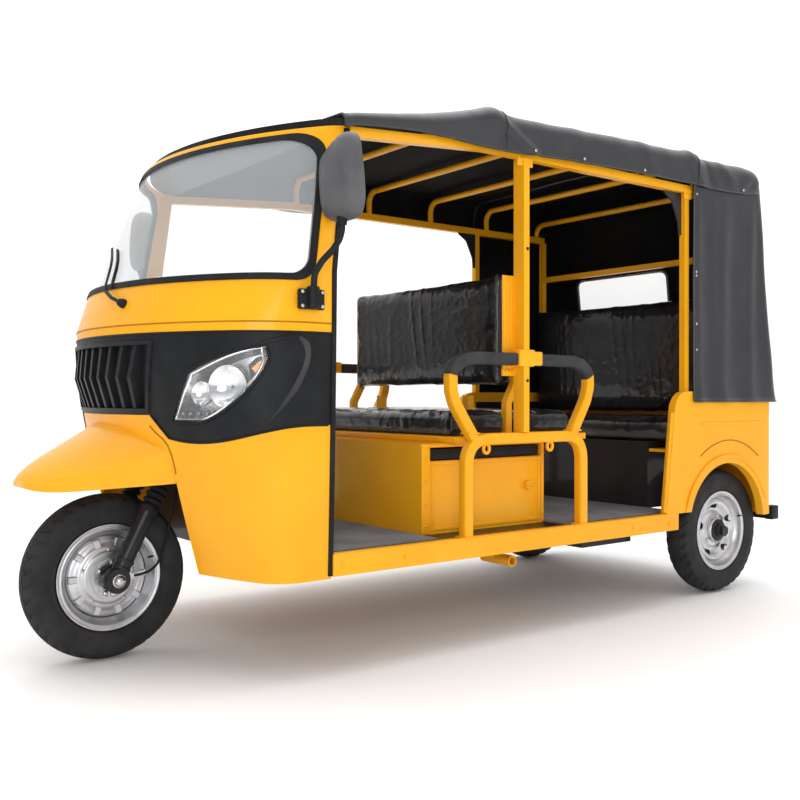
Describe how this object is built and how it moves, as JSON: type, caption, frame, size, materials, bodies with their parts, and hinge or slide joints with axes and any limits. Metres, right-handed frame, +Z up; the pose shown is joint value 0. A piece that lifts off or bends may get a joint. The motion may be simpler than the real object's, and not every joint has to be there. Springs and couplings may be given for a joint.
{
  "type": "passenger auto rickshaw, three-wheeled, with a vinyl roof and facing benches",
  "caption": "Three-wheeled passenger rickshaw with a moulded cab, open sides, back-to-back benches, a rear bench and a black vinyl roof on steel bows; it steers and rolls.",
  "frame": {"origin": "on the ground, midway along the length and on the centre plane", "axes": "+X to the vehicle's left, +Y rearward, +Z up"},
  "size_m": [1.616, 3.05, 1.8058],
  "materials": {
    "yellow_paint": "gloss",
    "black_paint": "satin",
    "black_plastic": "satin",
    "canvas": "grained vinyl",
    "vinyl": "gloss wrap",
    "rubber": "matte",
    "tyre": "matte",
    "wheel_steel": "silver paint",
    "steel": "bright",
    "engine": "cast",
    "glass": "clear",
    "lens": "clear",
    "red_lens": "gloss",
    "mat": "ribbed"
  },
  "bodies": {
    "vehicle_body": {"chassis_frame": "yellow_paint", "steering_neck": "black_paint", "floor_pan": "black_paint", "under_tray": "black_paint", "floor_mats": "mat", "front_bulkhead": "black_paint", "dashboard": "black_plastic", "front_mudguard": "yellow_paint", "leg_shield": "yellow_paint", "front_fascia": "black_plastic", "windscreen_frame": "yellow_paint", "windscreen_glass": "glass", "windscreen_seal": "rubber", "grille": "black_plastic", "headlamp_housings": "steel", "headlamp_lenses": "lens", "visor": "yellow_paint", "seat_box": "yellow_paint", "hatch_panels": "yellow_paint", "driver_cushion": "vinyl", "middle_cushion": "vinyl", "seat_posts": "yellow_paint", "seat_backrest": "vinyl", "rear_seat_base": "black_paint", "rear_cushion": "vinyl", "rear_backrest": "vinyl", "pillars": "yellow_paint", "roof_rails": "yellow_paint", "rear_cross_bars": "yellow_paint", "roof_bows": "yellow_paint", "roof_canvas": "canvas", "rear_canvas": "canvas", "rear_window": "glass", "rear_fenders": "yellow_paint", "tail_panel": "yellow_paint", "rear_bumper": "black_paint", "tail_lamps": "red_lens", "rear_axle": "black_paint", "leaf_springs": "black_paint", "engine_block": "engine", "handrails": "yellow_paint", "mirrors": "black_plastic"},
    "steering": {"front_fork": "black_paint", "front_axle": "steel", "front_brake_plate": "wheel_steel", "front_brake_cable": "rubber", "handlebar": "black_paint"},
    "front_wheel_body": {"front_wheel": "wheel_steel", "front_tyre": "tyre"},
    "rear_left_wheel_body": {"rear_wheel_left": "wheel_steel", "rear_tyre_left": "tyre"},
    "rear_right_wheel_body": {"rear_wheel_right": "wheel_steel", "rear_tyre_right": "tyre"}
  },
  "joints": [
    {"name": "steering_turn", "type": "hinge", "parent": "vehicle_body", "child": "steering", "pos_m": [0, -1.2199, 0.23957], "axis": [0, 0.454, 0.891], "range_deg": [-40, 40]},
    {"name": "front_wheel_spin", "type": "hinge", "parent": "steering", "child": "front_wheel_body", "pos_m": [0, -1.26, 0.26], "axis": [1, 0, 0], "continuous": true},
    {"name": "rear_left_spin", "type": "hinge", "parent": "vehicle_body", "child": "rear_left_wheel_body", "pos_m": [0.54, 1.175, 0.26], "axis": [1, 0, 0], "continuous": true},
    {"name": "rear_right_spin", "type": "hinge", "parent": "vehicle_body", "child": "rear_right_wheel_body", "pos_m": [-0.54, 1.175, 0.26], "axis": [1, 0, 0], "continuous": true}
  ]
}
